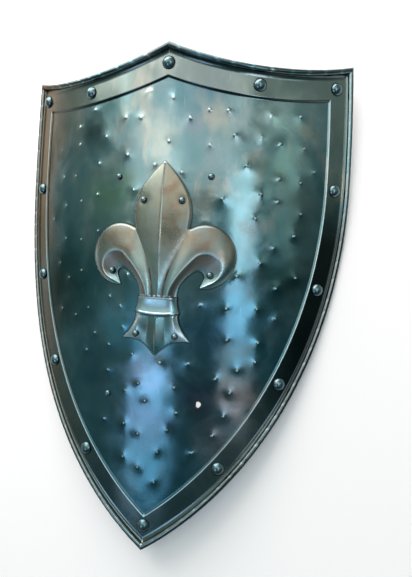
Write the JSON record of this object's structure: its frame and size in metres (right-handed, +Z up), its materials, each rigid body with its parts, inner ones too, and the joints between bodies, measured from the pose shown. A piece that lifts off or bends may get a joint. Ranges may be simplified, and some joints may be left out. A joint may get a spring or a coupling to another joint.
{
  "type": "heater shield",
  "caption": "Heater shield of bent blued steel with a rolled rim, a raised riveted border and a riveted fleur-de-lis, lying face up, with a leather arm strap behind.",
  "frame": {"origin": "centre of the bounding box at the floor that the shield lies on", "axes": "+Y from the tip to the peak, +X to the right side as seen from the front, +Z up, out of the face"},
  "size_m": [0.4404, 0.6058, 0.0982],
  "materials": {
    "blued_steel": "blued and polished, stained in places",
    "rivet_steel": "dark, polished",
    "fleur_steel": "warm grey, burnished",
    "strap_leather": "dark brown, worn"
  },
  "bodies": {
    "root": {"shield_plate": "blued_steel", "fleur_de_lis": "fleur_steel", "arm_strap": "strap_leather", "border_rivet_peak": "rivet_steel", "border_rivet_tip": "rivet_steel", "border_rivet_right_top": "rivet_steel", "border_rivet_right_corner": "rivet_steel", "border_rivet_right_side_1": "rivet_steel", "border_rivet_right_side_2": "rivet_steel", "border_rivet_right_side_3": "rivet_steel", "border_rivet_right_side_4": "rivet_steel", "border_rivet_left_top": "rivet_steel", "border_rivet_left_corner": "rivet_steel", "border_rivet_left_side_1": "rivet_steel", "border_rivet_left_side_2": "rivet_steel", "border_rivet_left_side_3": "rivet_steel", "border_rivet_left_side_4": "rivet_steel", "strap_rivet_upper_left": "rivet_steel", "strap_rivet_upper_right": "rivet_steel", "strap_rivet_lower_left": "rivet_steel", "fleur_rivet_upper_left": "rivet_steel", "fleur_rivet_upper_right": "rivet_steel", "fleur_rivet_middle_left": "rivet_steel", "fleur_rivet_middle_right": "rivet_steel", "fleur_rivet_lower_left": "rivet_steel", "fleur_rivet_lower_right": "rivet_steel"}
  },
  "joints": []
}
